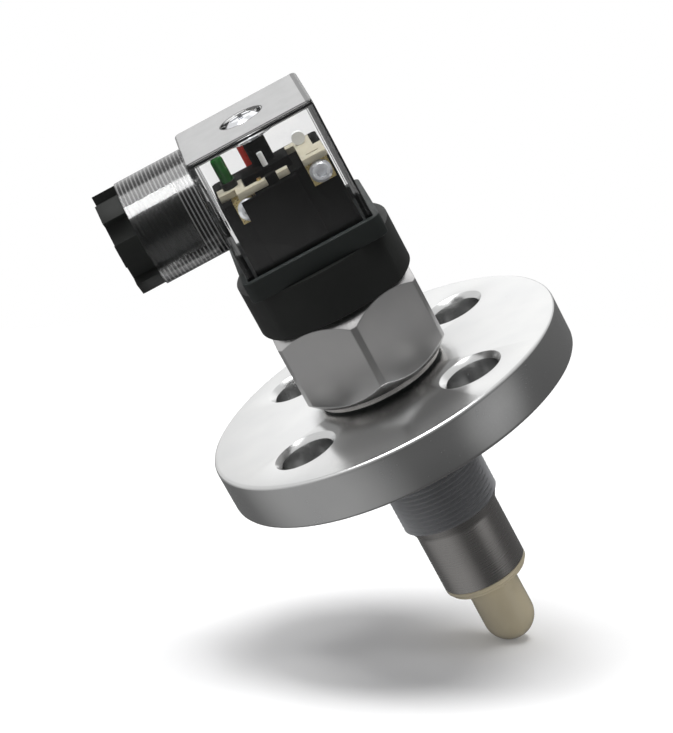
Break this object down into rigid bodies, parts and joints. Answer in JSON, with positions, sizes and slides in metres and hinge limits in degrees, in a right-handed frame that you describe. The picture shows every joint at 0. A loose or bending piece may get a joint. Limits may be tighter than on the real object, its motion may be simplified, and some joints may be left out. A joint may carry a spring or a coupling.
{
  "type": "microwave level switch",
  "caption": "Level switch with a round bolting flange, hexagon body, threaded probe with a rounded plastic tip, and a clear angled plug with a cable gland.",
  "frame": {"origin": "centre of the flange's underside, on the probe's axis", "axes": "+Z along the probe's axis towards the plug; the cable entry points along -X; the plug's plain front faces -Y"},
  "size_m": [0.075, 0.075, 0.1244],
  "materials": {
    "stainless": "fine turned stainless steel",
    "dark_stainless": "darker turned stainless steel of the thread and probe",
    "tip_plastic": "beige high-temperature plastic, satin",
    "black_plastic": "black glass-filled nylon, satin",
    "seal_rubber": "black rubber, dull",
    "clear_plastic": "clear moulded polycarbonate",
    "brass": "bare brass",
    "tinned_brass": "tinned contact metal",
    "plated_screw": "bright zinc-plated steel",
    "cream_board": "cream circuit carrier",
    "board_green": "green glass-fibre board",
    "ptfe": "white insulating plastic",
    "can_metal": "pressed tinned screening can",
    "green_lens": "green lamp lens",
    "red_plastic": "red insulating sleeve",
    "white_ceramic": "white glazed ceramic",
    "lead_insulation": "soft wire insulation"
  },
  "bodies": {
    "switch": {"flange": "stainless", "flange_seal": "seal_rubber", "sensor_body": "stainless", "probe_tip": "tip_plastic", "tip_seal_ring": "seal_rubber", "antenna_pin": "brass", "antenna_insulator": "ptfe", "board_sleeve": "ptfe", "circuit_board": "board_green", "oscillator_can": "can_metal", "output_module": "black_plastic", "connector_base": "black_plastic", "base_seal_ring": "seal_rubber", "threaded_nut": "brass", "contact_blade_1": "tinned_brass", "contact_blade_2": "tinned_brass", "contact_blade_3": "tinned_brass", "earth_blade": "tinned_brass", "profile_gasket": "seal_rubber", "hood": "clear_plastic", "contact_insert": "black_plastic", "terminal_1": "brass", "terminal_2": "brass", "terminal_3": "brass", "earth_terminal": "brass", "terminal_1_screw": "plated_screw", "terminal_2_screw": "plated_screw", "earth_terminal_screw": "plated_screw", "lamp_carrier": "cream_board", "bridge_carrier": "cream_board", "green_lamp": "green_lens", "lamp_cup": "black_plastic", "red_sleeve": "red_plastic", "resistor": "white_ceramic", "suppressor_disc": "white_ceramic", "screw_seal": "seal_rubber", "gland_washer": "can_metal", "gland_grommet": "seal_rubber", "lead_1": "lead_insulation", "lead_2": "lead_insulation", "lead_3": "lead_insulation", "earth_lead": "lead_insulation"},
    "gland": {"gland_nut": "black_plastic"},
    "fixing": {"fixing_screw": "plated_screw"}
  },
  "joints": [
    {"name": "gland_nut_turn", "type": "hinge", "parent": "switch", "child": "gland", "pos_m": [-0.0274, 0, 0.05885], "axis": [-1, 0, 0], "range_deg": [0, 270]},
    {"name": "fixing_screw_turn", "type": "hinge", "parent": "switch", "child": "fixing", "pos_m": [0, 0, 0.06815], "axis": [0, 0, 1], "range_deg": [0, 3330]}
  ]
}
